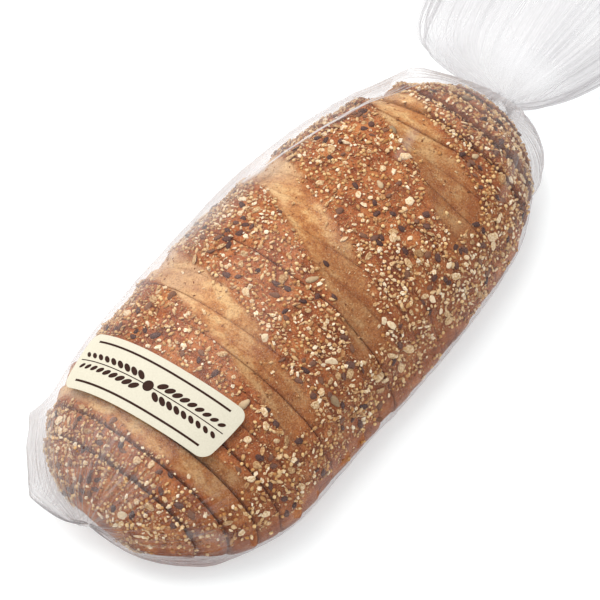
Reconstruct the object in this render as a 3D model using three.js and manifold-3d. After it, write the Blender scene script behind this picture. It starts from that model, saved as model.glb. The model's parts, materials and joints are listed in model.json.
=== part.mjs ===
// A sliced oval loaf with a seeded crust in a clear bag, gathered at a neck behind the loaf, and a paper
// label. Millimetres, +Z up. The loaf lies along X on its flat bottom, and the bag's neck points to +X.

import * as THREE from 'three';
import { mergeVertices } from 'three/addons/utils/BufferGeometryUtils.js';
import Module from 'manifold-3d';

const wasm = await Module();
wasm.setup();

// ---- driving dimensions -------------------------------------------------------------------------------

// The loaf: its length each way from its middle, its size there, and how it falls off to its ends.
const NEAR_HALF_LENGTH = 150;
const FAR_HALF_LENGTH = 148;
const LOAF_HALF_WIDTH = 62;
const LOAF_HEIGHT = 67;
const TIP_HEIGHT = 22;
const WAIST_SHARE = 0.34;
const NEAR_PLAN_POWER = 4.7;
const FAR_PLAN_POWER = 2.8;
const TOP_POWER = 1.8;
const BOTTOM_POWER = 5;
const END_ROOT = 2.2;

// Powers that shape a section: how full it is across, over the waist and under it.
const ACROSS_POWER = 0.88;
const OVER_POWER = 0.92;
const UNDER_POWER = 0.45;
const FLAT_SINK = 4;

// The right side bulges near the loaf's near end.
const BULGE_MIDDLE_X = -90;
const BULGE_HALF_LENGTH = 38;
const BULGE_REACH = 6;

const SLICE_THICKNESS = 11.8;
const SLICE_GROOVE = 0.9;
const SLICE_STEP = 0.5;

// Each slash crosses the top: its middle along X, its lean along X for each mm across, its half width.
const SLASHES = [
  { middle: -108.5, lean: 0.02, halfWidth: 8 },
  { middle: -51, lean: 0.28, halfWidth: 10 },
  { middle: 11.5, lean: 0.45, halfWidth: 10.5 },
  { middle: 88, lean: 0.51, halfWidth: 12 },
];
const SLASH_DEPTH = 3;

const FILM_CLEARANCE = 1.8;

// The film stands off the loaf in a ridge along the upper left, towards the neck.
const RIDGE_MIDDLE_X = 98;
const RIDGE_HALF_LENGTH = 48;
const RIDGE_ANGLE = THREE.MathUtils.degToRad(48);
const RIDGE_HALF_ANGLE = THREE.MathUtils.degToRad(30);
const RIDGE_REACH = 4;

// The bag's corners stand out near the floor on both sides of the near end.
const EAR_MIDDLE_X = -128;
const EAR_HALF_LENGTH = 19;
const EAR_REACH = 12;
const EAR_HEIGHT = 11;
const EAR_HALF_HEIGHT = 8;

const SHOULDER_X = 122;
const NECK_X = 152;
const NECK_LENGTH = 6;
const NECK_HEIGHT = 14;
const NECK_RADIUS = 6.5;
const NECK_FOLDS = 12;
const NECK_FOLD_DEPTH = 1.6;
const SHOULDER_POWER = 0.55;

const TAIL_LENGTH = 105;
const TAIL_TURN = THREE.MathUtils.degToRad(8);
const TAIL_WALL = 1.4;
const TAIL_FLOOR_GAP = 1;
const TAIL_PLEATS = 11;
const TAIL_PLEAT_START = 0.6;
const TAIL_PLEAT_GROWTH = 4;
const TAIL_PLEAT_SWAY = 1.3;

// How the tail opens on each side: two steps, each with its reach and the distance it takes.
const TAIL_LEFT = [{ reach: 48, over: 4.5 }, { reach: 14, over: 30 }];
const TAIL_RIGHT = [{ reach: 10, over: 9 }, { reach: 60, over: 95 }];
const TAIL_UP = [{ reach: 15, over: 12 }, { reach: 5, over: 40 }];
const TAIL_DOWN = [{ reach: 9, over: 10 }];

// The points round each ring, and where the rings lie: mm in from the near end, or shares of a length.
const AROUND = 48;
const NEAR_END_INSETS = [0.5, 2.5, 6];
const FIRST_CUT_INSET = 9;
const SHOULDER_SHARES = [0.15, 0.35, 0.55, 0.72, 0.85, 0.94, 1];
const TAIL_SHARES = [0, 0.03, 0.07, 0.13, 0.22, 0.4, 0.6, 0.8, 1];
const HOLLOW_SHARES = [1, 0.8, 0.6, 0.4, 0.22, 0.16];
const HOLLOW_TIP_SHARE = 0.11;

const LABEL_MIDDLE_X = -95.7;
const LABEL_LEAN = -0.06;
const LABEL_WIDTH = 28.5;
const LABEL_LENGTH = 88;
const LABEL_CORNER = 5;
const LABEL_RIGHT_Y = -33;
const LABEL_THICKNESS = 0.5;
const LABEL_GAP = 0.7;
const LABEL_CLEAR = 7;

const FLAKE_SIZE = [4, 2.9, 1.2];
const KERNEL_SIZE = [4.5, 2.4, 1.7];
const FLAX_SIZE = [2.8, 1.6, 1.3];
const TOPPING_SPACING = 19;
const TOPPING_COLUMNS = 8;
const TOPPING_SINK = 0.6;
const TOPPING_END_MARGIN = 14;
const TOPPING_LOWEST = THREE.MathUtils.degToRad(16);

// ---- helpers ------------------------------------------------------------------------------------------

function seededRandom(seed) {
  let state = seed;
  return () => {
    state = (state + 0x6d2b79f5) | 0;
    let mixed = Math.imul(state ^ (state >>> 15), 1 | state);
    mixed = (mixed + Math.imul(mixed ^ (mixed >>> 7), 61 | mixed)) ^ mixed;
    return ((mixed ^ (mixed >>> 14)) >>> 0) / 4294967296;
  };
}

function signedPower(value, power) {
  return Math.sign(value) * Math.abs(value) ** power;
}

function bump(distance, halfWidth) {
  return Math.exp(-((distance / halfWidth) ** 2));
}

function halfLengthAt(x, grow) {
  return (x < 0 ? NEAR_HALF_LENGTH : FAR_HALF_LENGTH) + grow;
}

// The share of the full size left at x, falling to nothing at the end of the loaf.
function endShare(x, grow, power) {
  const away = Math.min(Math.abs(x) / halfLengthAt(x, grow), 1);
  return (1 - away ** power) ** (1 / END_ROOT);
}

// ---- the loaf's form, grown outward by a clearance ------------------------------------------------------

function loafSection(x, grow) {
  const planPower = x < 0 ? NEAR_PLAN_POWER : FAR_PLAN_POWER;
  const halfWidth = (LOAF_HALF_WIDTH + grow) * endShare(x, grow, planPower);
  const top = TIP_HEIGHT + (LOAF_HEIGHT + grow - TIP_HEIGHT) * endShare(x, grow, TOP_POWER);
  const bottom = TIP_HEIGHT - TIP_HEIGHT * endShare(x, grow, BOTTOM_POWER);
  const bulge = BULGE_REACH * bump(x - BULGE_MIDDLE_X, BULGE_HALF_LENGTH);
  return { halfWidth, top, bottom, bulge, waist: bottom + WAIST_SHARE * (top - bottom) };
}

// A point of the section: angle 0 is the left side at the waist, a quarter turn is the top.
function sectionPoint(section, angle) {
  const across = Math.cos(angle);
  const up = Math.sin(angle);
  const bulge = section.bulge * Math.sqrt(Math.max(-across, 0));
  const y = section.halfWidth * signedPower(across, ACROSS_POWER) - bulge;
  if (up >= 0) {
    return { y, z: section.waist + (section.top - section.waist) * up ** OVER_POWER };
  }
  const depth = section.waist - section.bottom + FLAT_SINK;
  return { y, z: Math.max(section.waist - depth * (-up) ** UNDER_POWER, section.bottom) };
}

function slashDepth(x, y, angle) {
  let depth = 0;
  for (const slash of SLASHES) {
    depth += bump(x - slash.middle - slash.lean * y, slash.halfWidth);
  }
  return SLASH_DEPTH * depth * Math.sqrt(Math.max(Math.sin(angle), 0));
}

// ---- rings of the bag -----------------------------------------------------------------------------------

// How far the film stands off in the ridge along the upper left, and at the corners of the near end.
function ridgeReach(x, angle) {
  const along = bump(x - RIDGE_MIDDLE_X, RIDGE_HALF_LENGTH);
  return RIDGE_REACH * along * bump(angle - RIDGE_ANGLE, RIDGE_HALF_ANGLE);
}

function earReach(x, z) {
  return EAR_REACH * bump(x - EAR_MIDDLE_X, EAR_HALF_LENGTH) * bump(z - EAR_HEIGHT, EAR_HALF_HEIGHT);
}

// A point of the film over the loaf, sunk by a groove and by the slashes.
function filmPoint(x, angle, groove) {
  const section = loafSection(x, FILM_CLEARANCE);
  const { y, z } = sectionPoint(section, angle);
  const across = Math.cos(angle);
  const up = Math.max(Math.sin(angle), 0);
  const inward = (groove + slashDepth(x, y, angle)) * Math.sqrt(up);
  const narrowing = (0.5 * inward) / section.halfWidth;
  const ridge = ridgeReach(x, angle);
  const ear = earReach(x, z) * signedPower(across, 0.5);
  return new THREE.Vector3(x, y * (1 - narrowing) + ear + ridge * across, z - inward + ridge * up);
}

function bodyRing(x, groove) {
  const ring = [];
  for (let step = 0; step < AROUND; step += 1) {
    ring.push(filmPoint(x, (2 * Math.PI * step) / AROUND, groove).toArray());
  }
  return ring;
}

// Between the shoulder and the neck the film leaves the loaf and is drawn together.
function shoulderRing(share) {
  const x = SHOULDER_X + (NECK_X - SHOULDER_X) * share;
  const keep = (1 - share ** 2) ** SHOULDER_POWER;
  const ring = [];
  for (let step = 0; step < AROUND; step += 1) {
    const angle = (2 * Math.PI * step) / AROUND;
    const start = filmPoint(SHOULDER_X, angle, 0);
    const radius = NECK_RADIUS + NECK_FOLD_DEPTH * share ** 2 * Math.cos(NECK_FOLDS * angle);
    const neckY = radius * Math.cos(angle);
    const neckZ = NECK_HEIGHT + radius * Math.sin(angle);
    ring.push([x, neckY + (start.y - neckY) * keep, neckZ + (start.z - neckZ) * keep]);
  }
  return ring;
}

function opened(steps, distance) {
  let size = NECK_RADIUS;
  for (const { reach, over } of steps) {
    size += reach * (1 - Math.exp(-distance / over));
  }
  return size;
}

// A ring of the tail, its pleats running out from the neck. The inner face is the outer one less the wall.
function tailRing(share, wall) {
  const distance = TAIL_LENGTH * share;
  const depth = TAIL_PLEAT_START + TAIL_PLEAT_GROWTH * share ** 0.7;
  const startX = NECK_X + NECK_LENGTH;
  const ring = [];
  for (let step = 0; step < AROUND; step += 1) {
    const angle = (2 * Math.PI * step) / AROUND;
    const side = opened(Math.cos(angle) > 0 ? TAIL_LEFT : TAIL_RIGHT, distance);
    const rise = opened(Math.sin(angle) > 0 ? TAIL_UP : TAIL_DOWN, distance);
    const pleat = depth * Math.cos(TAIL_PLEATS * angle + TAIL_PLEAT_SWAY * Math.sin(2 * angle));
    const y = (side + pleat - wall) * Math.cos(angle);
    const z = NECK_HEIGHT + (rise + 0.6 * pleat - wall) * Math.sin(angle);
    ring.push([
      startX + distance * Math.cos(TAIL_TURN) - y * Math.sin(TAIL_TURN),
      distance * Math.sin(TAIL_TURN) + y * Math.cos(TAIL_TURN),
      Math.max(z, TAIL_FLOOR_GAP + wall),
    ]);
  }
  return ring;
}

// Rings joined in order, closed by a point at each end.
function loftGeometry(startPoint, rings, endPoint) {
  const around = rings[0].length;
  const positions = [...startPoint, ...rings.flat(2), ...endPoint];
  const indices = [];
  const last = rings.length * around + 1;
  const at = (ring, step) => 1 + ring * around + (step % around);
  for (let step = 0; step < around; step += 1) {
    indices.push(0, at(0, step + 1), at(0, step));
    indices.push(last, at(rings.length - 1, step), at(rings.length - 1, step + 1));
    for (let ring = 0; ring < rings.length - 1; ring += 1) {
      indices.push(at(ring, step), at(ring + 1, step + 1), at(ring + 1, step));
      indices.push(at(ring, step), at(ring, step + 1), at(ring + 1, step + 1));
    }
  }
  const geometry = new THREE.BufferGeometry();
  geometry.setAttribute('position', new THREE.Float32BufferAttribute(positions, 3));
  geometry.setIndex(indices);
  return geometry;
}

function bagRings() {
  const random = seededRandom(11);
  const rings = [];
  const endX = -halfLengthAt(-1, FILM_CLEARANCE);
  for (const inset of NEAR_END_INSETS) {
    rings.push(bodyRing(endX + inset, 0));
  }
  const firstCut = endX + FIRST_CUT_INSET;
  const slices = Math.floor((SHOULDER_X - firstCut) / SLICE_THICKNESS);
  const pitch = (SHOULDER_X - firstCut) / slices;
  for (let slice = 0; slice < slices; slice += 1) {
    const start = firstCut + slice * pitch;
    const sink = SLICE_STEP * (2 * random() - 1);
    rings.push(bodyRing(start, SLICE_GROOVE));
    rings.push(bodyRing(start + 0.15 * pitch, sink));
    rings.push(bodyRing(start + 0.85 * pitch, sink));
  }
  for (const share of SHOULDER_SHARES) {
    rings.push(shoulderRing(share));
  }
  for (const share of TAIL_SHARES) {
    rings.push(tailRing(share, 0));
  }
  for (const share of HOLLOW_SHARES) {
    rings.push(tailRing(share, TAIL_WALL));
  }
  return rings;
}

// ---- toppings fused to the crust ------------------------------------------------------------------------

function underLabel(x, y) {
  const alongX = Math.abs(x - LABEL_MIDDLE_X) < LABEL_WIDTH / 2 + LABEL_CLEAR;
  return alongX && y > LABEL_RIGHT_Y - LABEL_CLEAR;
}

function onSlash(x, y) {
  return SLASHES.some((slash) => Math.abs(x - slash.middle - slash.lean * y) < slash.halfWidth);
}

// Places spread evenly over the dome in rows, each moved a little at random, with its outward direction.
function toppingPlaces() {
  const random = seededRandom(5);
  const places = [];
  const rowCount = Math.round((SHOULDER_X + NEAR_HALF_LENGTH - TOPPING_END_MARGIN) / TOPPING_SPACING);
  for (let row = 0; row < rowCount; row += 1) {
    const along = -NEAR_HALF_LENGTH + TOPPING_END_MARGIN + row * TOPPING_SPACING;
    for (let column = 0; column < TOPPING_COLUMNS; column += 1) {
      const x = along + TOPPING_SPACING * 0.7 * (random() - 0.5);
      const share = (column + 0.5 * (row % 2) + 0.6 * random()) / TOPPING_COLUMNS;
      const angle = TOPPING_LOWEST + (Math.PI - 2 * TOPPING_LOWEST) * share;
      const spot = filmPoint(x, angle, TOPPING_SINK);
      if (underLabel(x, spot.y) || onSlash(x, spot.y)) {
        continue;
      }
      const alongX = filmPoint(x + 0.5, angle, TOPPING_SINK).sub(spot);
      const aroundX = filmPoint(x, angle + 0.01, TOPPING_SINK).sub(spot);
      const outward = aroundX.cross(alongX).normalize();
      places.push({ position: spot, outward, turn: Math.PI * random() });
    }
  }
  return places;
}

function toppingSolid(place, size) {
  const seed = new THREE.SphereGeometry(1, 6, 3);
  seed.rotateX(Math.PI / 2);
  seed.scale(...size);
  seed.rotateZ(place.turn);
  const upright = new THREE.Vector3(0, 0, 1);
  seed.applyQuaternion(new THREE.Quaternion().setFromUnitVectors(upright, place.outward));
  seed.translate(place.position.x, place.position.y, place.position.z);
  return solidFrom(seed);
}

function solidFrom(geometry) {
  const plain = geometry.clone();
  plain.deleteAttribute('normal');
  plain.deleteAttribute('uv');
  const merged = mergeVertices(plain, 1e-4);
  return new wasm.Manifold(new wasm.Mesh({
    numProp: 3,
    vertProperties: merged.attributes.position.array,
    triVerts: new Uint32Array(merged.index.array),
  }));
}

function geometryFrom(solid) {
  const mesh = solid.getMesh();
  const geometry = new THREE.BufferGeometry();
  geometry.setAttribute('position', new THREE.BufferAttribute(mesh.vertProperties, 3));
  geometry.setIndex(new THREE.BufferAttribute(mesh.triVerts, 1));
  return geometry;
}

// ---- the bag and the label ------------------------------------------------------------------------------

function bagGeometry() {
  const rings = bagRings();
  const nearTip = [-halfLengthAt(-1, FILM_CLEARANCE), 0, TIP_HEIGHT];
  const innerTip = [NECK_X + NECK_LENGTH + TAIL_LENGTH * HOLLOW_TIP_SHARE, 0, NECK_HEIGHT];
  let solid = solidFrom(loftGeometry(nearTip, rings, innerTip));
  const sizes = [FLAKE_SIZE, FLAX_SIZE, KERNEL_SIZE, FLAX_SIZE];
  toppingPlaces().forEach((place, index) => {
    solid = solid.add(toppingSolid(place, sizes[index % sizes.length]));
  });
  return geometryFrom(solid);
}

// The section's angles at the given lengths along the label, from its right end to its left end.
function labelAngles(lengths) {
  const section = loafSection(LABEL_MIDDLE_X, FILM_CLEARANCE + LABEL_GAP);
  const angles = [];
  let angle = Math.PI;
  let before = sectionPoint(section, angle);
  while (before.y < LABEL_RIGHT_Y) {
    angle -= 0.002;
    before = sectionPoint(section, angle);
  }
  let travelled = 0;
  for (const length of lengths) {
    while (travelled < length) {
      angle -= 0.002;
      const next = sectionPoint(section, angle);
      travelled += Math.hypot(next.y - before.y, next.z - before.z);
      before = next;
    }
    angles.push(angle);
  }
  return angles;
}

// Lengths along the label where its outline needs a point: close together round the corners.
function labelLengths() {
  const corner = [0, 1, 2, 3, 4].map((step) => LABEL_CORNER * (1 - Math.cos((step * Math.PI) / 8)));
  const middle = [];
  for (let step = 1; step < 16; step += 1) {
    middle.push(LABEL_CORNER + ((LABEL_LENGTH - 2 * LABEL_CORNER) * step) / 16);
  }
  return [...corner, ...middle, ...corner.reverse().map((length) => LABEL_LENGTH - length)];
}

function labelGeometry() {
  const lengths = labelLengths();
  const angles = labelAngles(lengths);
  const shares = [-1, -0.5, 0, 0.5, 1];
  const rings = lengths.map((length, index) => {
    const fromEnd = Math.min(length, LABEL_LENGTH - length, LABEL_CORNER);
    const rounding = LABEL_CORNER - Math.sqrt(LABEL_CORNER ** 2 - (LABEL_CORNER - fromEnd) ** 2);
    const reach = LABEL_WIDTH / 2 - rounding;
    const side = (share, grow) => {
      const middleY = sectionPoint(loafSection(LABEL_MIDDLE_X, grow), angles[index]).y;
      const x = LABEL_MIDDLE_X + LABEL_LEAN * middleY + share * reach;
      const { y, z } = sectionPoint(loafSection(x, grow), angles[index]);
      return [x, y, z];
    };
    const under = shares.map((share) => side(-share, FILM_CLEARANCE + LABEL_GAP));
    const over = shares.map((share) => side(share, FILM_CLEARANCE + LABEL_GAP + LABEL_THICKNESS));
    return [...under, ...over];
  });
  const middleOf = (ring) => [0, 1, 2].map((axis) => (ring[2][axis] + ring[7][axis]) / 2);
  return loftGeometry(middleOf(rings[0]), rings, middleOf(rings[rings.length - 1]));
}

// ---- assembly: the origin is the middle of the bounding box's bottom ------------------------------------

const bagMaterial = new THREE.MeshStandardMaterial({ color: 0xb06a35, roughness: 0.35, metalness: 0 });
const labelMaterial = new THREE.MeshStandardMaterial({ color: 0xf0ecd8, roughness: 0.6, metalness: 0 });

const bag = new THREE.Mesh(bagGeometry(), bagMaterial);
bag.name = 'bag';
const label = new THREE.Mesh(labelGeometry(), labelMaterial);
label.name = 'label';

const group = new THREE.Group();
group.add(bag, label);

const bounds = new THREE.Box3().setFromObject(group);
const middle = bounds.getCenter(new THREE.Vector3());
group.position.set(-middle.x, -middle.y, -bounds.min.z);

export default group;
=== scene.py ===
import collections
import itertools
import json

import bpy
import numpy as np
from mathutils import Matrix, Vector


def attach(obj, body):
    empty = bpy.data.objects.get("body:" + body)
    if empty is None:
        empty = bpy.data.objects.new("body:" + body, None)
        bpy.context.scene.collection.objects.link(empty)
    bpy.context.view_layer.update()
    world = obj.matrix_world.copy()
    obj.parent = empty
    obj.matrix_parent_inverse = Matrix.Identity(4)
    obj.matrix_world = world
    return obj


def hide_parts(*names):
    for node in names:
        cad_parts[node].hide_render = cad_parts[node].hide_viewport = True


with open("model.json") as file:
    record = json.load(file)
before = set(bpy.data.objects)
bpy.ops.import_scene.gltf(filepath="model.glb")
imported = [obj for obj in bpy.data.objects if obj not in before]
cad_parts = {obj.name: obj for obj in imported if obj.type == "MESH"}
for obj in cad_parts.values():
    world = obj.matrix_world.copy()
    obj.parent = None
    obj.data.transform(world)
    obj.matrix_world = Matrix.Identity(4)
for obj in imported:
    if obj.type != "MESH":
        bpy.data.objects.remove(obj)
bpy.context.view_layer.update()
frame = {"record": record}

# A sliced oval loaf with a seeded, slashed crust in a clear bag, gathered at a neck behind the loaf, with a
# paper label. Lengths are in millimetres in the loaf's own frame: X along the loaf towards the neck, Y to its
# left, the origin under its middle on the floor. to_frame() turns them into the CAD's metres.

# ---- driving dimensions, as in the CAD ----

NEAR_HALF_LENGTH = 150.0
FAR_HALF_LENGTH = 148.0
LOAF_HALF_WIDTH = 62.0
LOAF_HEIGHT = 67.0
TIP_HEIGHT = 22.0
WAIST_SHARE = 0.34
NEAR_PLAN_POWER = 4.7
FAR_PLAN_POWER = 2.8
TOP_POWER = 1.8
BOTTOM_POWER = 5.0
END_ROOT = 2.2

ACROSS_POWER = 0.88
OVER_POWER = 0.92
FILM_UNDER_POWER = 0.45
BREAD_UNDER_POWER = 0.46
FLAT_SINK = 4.0

BULGE_MIDDLE_X = -90.0
BULGE_HALF_LENGTH = 38.0
BULGE_REACH = 6.0

FIRST_CUT = -131.3
SLICE_THICKNESS = 11.8
CUT_COUNT = 24
WIDE_GAPS = {0: 1.5, 1: 1.4, 2: 1.1, 3: 0.9, 4: 0.7, 19: 1.0, 20: 2.4, 21: 2.6, 22: 1.6}

# Each slash: its middle along X, how far it leans along X for each mm across, its half width, and the two
# ends across the loaf where it fades out.
SLASHES = [
    (-108.5, 0.02, 8.0, -50, 70),
    (-51, 0.28, 10.0, -54, 66),
    (11.5, 0.45, 10.5, -54, 70),
    (88, 0.51, 12.0, -46, 60),
]
SLASH_DEPTH = 2.2

FILM_CLEARANCE = 1.8

# Along the upper left the film stands off the loaf, flat from a fold line down. A pair of this kind holds
# stations along X, and how far it reaches at each.
RIDGE = (-60, -20, 20, 60, 90, 110, 122, 138), (0, 1, 2.2, 1.8, 2.2, 2.8, 4.5, 0)
RIDGE_PEAK = (20, 100), np.radians((25, 45))
FOLD_ANGLE = np.radians(53)
RIDGE_FOOT = 0.8

SHOULDER_X = 122.0
SHOULDER_POWER = 0.55
NECK_X = 152.0
NECK_LENGTH = 6.0
NECK_HEIGHT = 14.0
NECK_RADIUS = 6.5

TAIL_LENGTH = 105.0
TAIL_TURN = np.radians(8)
TAIL_FLOOR_GAP = 1.0
TAIL_LEFT = [(48, 4.5), (14, 30)]
TAIL_RIGHT = [(10, 9), (60, 95)]
TAIL_UP = [(15, 12), (5, 40)]
TAIL_DOWN = [(9, 10)]

LABEL_MIDDLE_X = -95.7
LABEL_LEAN = -0.06
LABEL_WIDTH = 28.5
LABEL_LENGTH = 88.0
LABEL_CORNER = 5.0
LABEL_RIGHT_Y = -33.0
LABEL_THICKNESS = 0.25
LABEL_GAP = 0.9

# The camera: where it looks from, as turned from the loaf's axis and raised above the floor, and its picture.
CAMERA_TURN = np.radians(51.05)
CAMERA_RISE = np.radians(56.95)
CAMERA_DISTANCE = 1516.8
CAMERA_SCALE = 2.15  # pixels for each mm at the loaf's middle
CAMERA_AIM = (302.6 - 300, 300 - 295.3)  # pixels right of and above the picture's middle
CAMERA_AIM_HEIGHT = 28.0
PICTURE_SIDE = 600
FLOOR_GLOW = 0.41  # a lit white sweep, which keeps the shadow tight

MM = 0.001
LOAF_MIDDLE = np.array(frame["record"]["mounts"][0]["pos_m"])  # the part rests on the loaf's flat bottom


def to_frame(points):
    return np.asarray(points) * MM + LOAF_MIDDLE


# ---- numbers ----

join = np.concatenate


def stack(*parts):
    return np.stack(parts, axis=-1)


def unit(vectors):
    return vectors / np.maximum(np.linalg.norm(vectors, axis=-1, keepdims=True), 1e-9)


def bump(distance, half_width):
    return np.exp(-((distance / half_width) ** 2))


def ease(value, low, high):
    share = np.clip((value - low) / (high - low), 0, 1)
    return share * share * (3 - 2 * share)


def noise(points, size, seed):
    """Smooth noise from -1 to 1 with features of that size."""
    cells = np.asarray(points, float) / size + 1000.5
    base = np.floor(cells).astype(np.int64)
    part = cells - base
    part = part * part * (3 - 2 * part)
    total = np.zeros(len(base))
    for corner in itertools.product((0, 1), repeat=3):
        index = base + corner
        mixed = index[:, 0] * 374761393 + index[:, 1] * 668265263 + index[:, 2] * 974634777 + seed * 144665
        mixed = (mixed ^ (mixed >> 13)) * 1274126177
        value = ((mixed ^ (mixed >> 16)) & 0xFFFF) / 32767.5 - 1
        total += np.where(corner, part, 1 - part).prod(axis=1) * value
    return total


# ---- the loaf's form ----

def end_share(x, grow, power):
    half_length = np.where(x < 0, NEAR_HALF_LENGTH, FAR_HALF_LENGTH) + grow
    away = np.minimum(np.abs(x) / half_length, 1)
    return (1 - away ** power) ** (1 / END_ROOT)


def loaf_section(x, grow):
    plan_power = np.where(x < 0, NEAR_PLAN_POWER, FAR_PLAN_POWER)
    half_width = (LOAF_HALF_WIDTH + grow) * end_share(x, grow, plan_power)
    top = TIP_HEIGHT + (LOAF_HEIGHT + grow - TIP_HEIGHT) * end_share(x, grow, TOP_POWER)
    bottom = TIP_HEIGHT - TIP_HEIGHT * end_share(x, grow, BOTTOM_POWER)
    return half_width, top, bottom, bottom + WAIST_SHARE * (top - bottom)


def section_points(x, angle, grow, under_power):
    """Points of the loaf's sections: angle 0 is the left side at the waist, a quarter turn is the top."""
    half_width, top, bottom, waist = loaf_section(x, grow)
    across = np.cos(angle)
    up = np.sin(angle)
    bulge = BULGE_REACH * bump(x - BULGE_MIDDLE_X, BULGE_HALF_LENGTH) * np.sqrt(np.maximum(-across, 0))
    y = half_width * np.sign(across) * np.abs(across) ** ACROSS_POWER - bulge
    depth = waist - bottom + FLAT_SINK
    over = waist + (top - waist) * np.abs(up) ** OVER_POWER
    under = np.maximum(waist - depth * np.abs(up) ** under_power, bottom)
    return stack(x + 0 * y, y, np.where(up >= 0, over, under))


def outward(surface, x, angle):
    """The surface's outward directions, from its slopes along X and round it."""
    along = surface(x + 0.2, angle) - surface(x - 0.2, angle)
    around = surface(x, angle + 0.01) - surface(x, angle - 0.01)
    return unit(np.cross(around, along))


def slash_distance(x, y):
    """How many half widths a spot is from the nearest slash's middle, and how open that slash is there."""
    distance = np.full(np.shape(x), 9.0)
    openness = np.zeros(np.shape(x))
    for middle, lean, half_width, right_end, left_end in SLASHES:
        away = (x - middle - lean * y) / half_width
        ends = ease(y, right_end - 6, right_end + 10) * (1 - ease(y, left_end - 10, left_end + 4))
        nearer = np.abs(away) < np.abs(distance)
        distance = np.where(nearer, away, distance)
        openness = np.where(nearer, ends, openness)
    return distance, openness


def slash_share(x, y, points):
    """1 inside a slash, 0 outside, with an uneven edge."""
    distance, openness = slash_distance(x, y)
    ragged = 0.20 * noise(points, 11, 21) + 0.13 * noise(points, 4, 22) + 0.08 * noise(points, 1.8, 23)
    return (1 - ease(np.abs(distance) + ragged, 0.72, 1.14)) * openness


# ---- slices ----

rng = np.random.default_rng(7)
CUTS = FIRST_CUT + SLICE_THICKNESS * np.arange(CUT_COUNT) + rng.uniform(-0.5, 0.5, CUT_COUNT)
GAPS = rng.uniform(0.15, 0.45, CUT_COUNT)
for cut, gap in WIDE_GAPS.items():
    GAPS[cut] = gap
EDGES = join([[-NEAR_HALF_LENGTH], CUTS, [FAR_HALF_LENGTH]])
SLICE_COUNT = CUT_COUNT + 1
SLICE_ASIDE = rng.uniform(-0.7, 0.7, SLICE_COUNT)
SLICE_GROWTH = 1 + rng.uniform(-0.012, 0.008, SLICE_COUNT)
SLICE_TURN = rng.uniform(-0.006, 0.006, SLICE_COUNT)
SLICE_LEAN = rng.uniform(-0.006, 0.006, SLICE_COUNT)
STEP_HEIGHT = 0.85
NEAR_STEP_GAIN = 1.6
FAR_STEP_LOSS = 3.2

# How the crust departs from the smooth outline. Lumps: height and size, largest first.
LUMPS = ((1.1, 32), (0.5, 12), (0.3, 4.5), (0.1, 2))
CRUST_SINK = 0.6
LIP_HEIGHT = 0.7
FAR_END_SINK = 3.0
# Low on the right it is fuller: everywhere, and round two places, as middle along X, half length and reach.
FOOT_FULLNESS = 1.2
FOOT_PLACES = ((-52, 28, 1.8), (-141, 14, -3.0))
# Right of the middle, both crust and film are fuller still: stations along X, and how far.
FLANK = (-58, -42, -29, -15, 0, 12, 25, 40, 60, 97, 114), (0, 1.5, 2.5, 3.7, 3.8, 3.4, 2.9, 2.1, 1.5, 1.6, 0)


def shift_slices(points, number):
    """Each slice is a little aside of, larger or smaller than, and turned against the next."""
    middle = (EDGES[number] + EDGES[number + 1]) / 2
    x, y, z = points[..., 0], points[..., 1], points[..., 2]
    growth = SLICE_GROWTH[number]
    moved_x = x + SLICE_TURN[number] * y + SLICE_LEAN[number] * (z - 30)
    moved_y = y * growth + SLICE_ASIDE[number] - SLICE_TURN[number] * (x - middle)
    return stack(moved_x, moved_y, z * growth)


def slice_step(x, number):
    """How much a slice's crust stands up towards its far cut, as the slices lean, most at the near end."""
    low, high = EDGES[number], EDGES[number + 1]
    share = np.clip((x - low) / (high - low), 0, 1)
    gain = NEAR_STEP_GAIN * ease(-low, 60, 130) - FAR_STEP_LOSS * ease(low, 80, 104)
    return STEP_HEIGHT * (1 + gain) * (share ** 1.5 - 0.4)


def crust_base(x, angle):
    return section_points(x, angle, 0.0, BREAD_UNDER_POWER)


def low_on_right(points):
    """1 low on the right flank, 0 elsewhere."""
    return ease(-points[..., 1], 15, 45) * (1 - ease(points[..., 2], 16, 34))


def crust_points(x, angle, number):
    """The crust's surface with its lumps and slashes, each slice in its place."""
    base = crust_base(x, angle)
    normal = outward(crust_base, x, angle)
    flat = base.reshape(-1, 3)
    lumps = sum(height * noise(flat, size, seed) for seed, (height, size) in enumerate(LUMPS, start=1))
    lumps = lumps.reshape(base.shape[:-1])
    distance, openness = slash_distance(base[..., 0], base[..., 1])
    trough = np.clip(1 - distance ** 2, 0, 1) ** 1.2
    lip = bump(np.abs(distance) - 1.12, 0.14)
    above = ease(np.sin(angle), 0.1, 0.5)
    carve = (LIP_HEIGHT * lip - SLASH_DEPTH * trough) * openness * above
    low_right = low_on_right(base)
    lumps *= (1 - 0.6 * trough * openness) * (1 - 0.5 * low_right)
    full = FOOT_FULLNESS + np.interp(base[..., 0], *FLANK)
    for middle, half_length, reach in FOOT_PLACES:
        full += reach * bump(base[..., 0] - middle, half_length)
    full = full * low_right * ease(base[..., 2], 1, 8) - FAR_END_SINK * ease(x, 118, 146)
    step = slice_step(x, number) * ease(base[..., 2], 3, 20)
    relief = lumps - CRUST_SINK + full + carve + step
    return shift_slices(base + normal * relief[..., None], number)


# ---- mesh making ----

def put_in_scene(name, data):
    made = bpy.data.objects.new(name, data)
    bpy.context.scene.collection.objects.link(made)
    return made


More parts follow.
